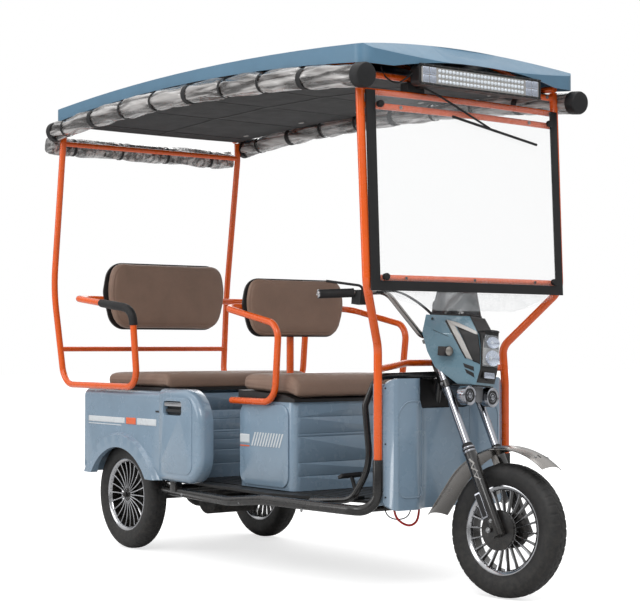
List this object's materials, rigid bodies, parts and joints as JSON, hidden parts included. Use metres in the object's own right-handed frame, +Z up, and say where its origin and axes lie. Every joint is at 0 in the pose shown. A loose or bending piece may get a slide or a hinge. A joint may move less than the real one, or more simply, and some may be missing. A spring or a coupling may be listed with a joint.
{
  "type": "electric rickshaw",
  "caption": "Three-wheeled electric passenger rickshaw with a tube frame, open sides, a hard canopy with rolled curtains and a raked steered front fork.",
  "frame": {"origin": "on the ground under the middle of the vehicle's bounding box", "axes": "+X forward, +Y to the vehicle's left, +Z up"},
  "size_m": [2.8848, 1.188, 2.1262],
  "materials": {
    "body_blue": "gloss",
    "roof_blue": "satin",
    "fairing_blue": "gloss",
    "orange_tube": "gloss",
    "black_frame": "satin",
    "black_plastic": "matt",
    "seat_brown": "satin",
    "tyre_rubber": "matt",
    "soft_black": "matt",
    "polished_rim": "polished",
    "fork_chrome": "polished",
    "stainless": "brushed",
    "clear_sheet": "clear",
    "smoked_screen": "clear",
    "lamp_lens": "clear",
    "tail_red": "gloss",
    "curtain_film": "satin",
    "lining_cloth": "matt",
    "solar_blue": "gloss",
    "axle_iron": "matt",
    "battery_case": "matt",
    "lead_red": "satin"
  },
  "bodies": {
    "root": {"chassis": "black_frame", "front_hoop": "orange_tube", "rear_hoop": "orange_tube", "driver_seat_frame": "orange_tube", "floor_board": "soft_black", "rear_quarters": "body_blue", "rear_wings": "body_blue", "rear_bulkhead": "body_blue", "rear_wall": "body_blue", "tail_lamps": "tail_red", "rear_axle": "axle_iron", "leaf_springs": "black_frame", "driver_box": "body_blue", "battery": "battery_case", "seat_bases": "black_plastic", "driver_cushion": "seat_brown", "rear_cushion": "seat_brown", "driver_backrest": "seat_brown", "rear_backrest": "seat_brown", "backrest_shells": "black_plastic", "arm_pads": "soft_black", "leg_shield": "body_blue", "brake_pedal": "black_frame", "roof_shell": "roof_blue", "roof_frame": "orange_tube", "roof_lining": "lining_cloth", "solar_modules": "solar_blue", "curtain_rolls": "curtain_film", "windshield": "clear_sheet", "windshield_trim": "black_plastic", "wiper": "black_plastic", "light_bar": "lamp_lens", "red_lead": "lead_red", "black_lead": "soft_black"},
    "steering": {"steering_stem": "black_frame", "fork_legs": "fork_chrome", "front_fender": "stainless", "fairing": "fairing_blue", "front_lamps": "lamp_lens", "fairing_screen": "smoked_screen", "horns": "black_plastic", "handlebar": "fork_chrome", "hand_grips": "soft_black"},
    "front_wheel": {"front_tyre": "tyre_rubber", "front_rim": "polished_rim"},
    "rear_left_wheel": {"rear_left_tyre": "tyre_rubber", "rear_left_rim": "polished_rim"},
    "rear_right_wheel": {"rear_right_tyre": "tyre_rubber", "rear_right_rim": "polished_rim"}
  },
  "joints": [
    {"name": "steering", "type": "hinge", "parent": "root", "child": "steering", "pos_m": [1.17075, 0, 0.2287], "axis": [-0.4726, 0, 0.8813], "range_deg": [-45.4, 24.6]},
    {"name": "front_wheel_spin", "type": "hinge", "parent": "steering", "child": "front_wheel", "pos_m": [1.20542, 0.00722, 0.24729], "axis": [-0.1591, 0.9836, -0.0853], "continuous": true},
    {"name": "rear_left_wheel_spin", "type": "hinge", "parent": "root", "child": "rear_left_wheel", "pos_m": [-0.884, 0.37, 0.247], "axis": [0, 1, 0], "continuous": true},
    {"name": "rear_right_wheel_spin", "type": "hinge", "parent": "root", "child": "rear_right_wheel", "pos_m": [-0.884, -0.37, 0.247], "axis": [0, 1, 0], "continuous": true}
  ]
}
